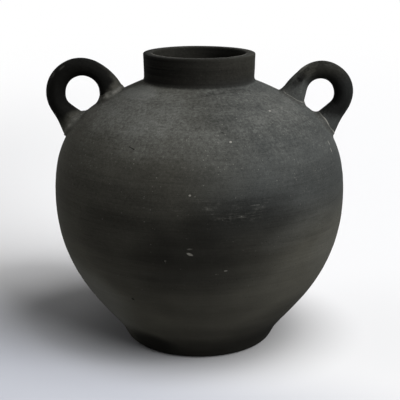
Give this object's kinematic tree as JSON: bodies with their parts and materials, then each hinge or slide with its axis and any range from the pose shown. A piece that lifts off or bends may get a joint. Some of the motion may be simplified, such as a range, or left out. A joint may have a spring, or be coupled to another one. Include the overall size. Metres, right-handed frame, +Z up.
{
  "type": "terracotta vase",
  "caption": "Globular fired-clay vase on a low foot ring, with a short straight neck, a flat rim and thick loop handles on the shoulders; holds branches, flowers or dry stores.",
  "frame": {"origin": "centre of the circle that the foot ring rests on, on the vase's axis", "axes": "+Z up along the vase's axis, +X towards the smaller handle, -Y towards the side the picture was taken from"},
  "size_m": [0.311, 0.2972, 0.3],
  "materials": {
    "fired_clay": "matt charcoal fired clay with fine throwing lines and a slightly chalky surface",
    "luting_slip": "smeared clay slip, a little paler and smoother than the thrown clay"
  },
  "bodies": {
    "root": {"foot_ring": "fired_clay", "lower_bowl": "fired_clay", "upper_bowl": "fired_clay", "neck_collar": "fired_clay", "neck_luting": "luting_slip", "handle_left": "fired_clay", "handle_left_upper_luting": "luting_slip", "handle_left_lower_luting": "luting_slip", "handle_right": "fired_clay", "handle_right_upper_luting": "luting_slip", "handle_right_lower_luting": "luting_slip"}
  },
  "joints": []
}
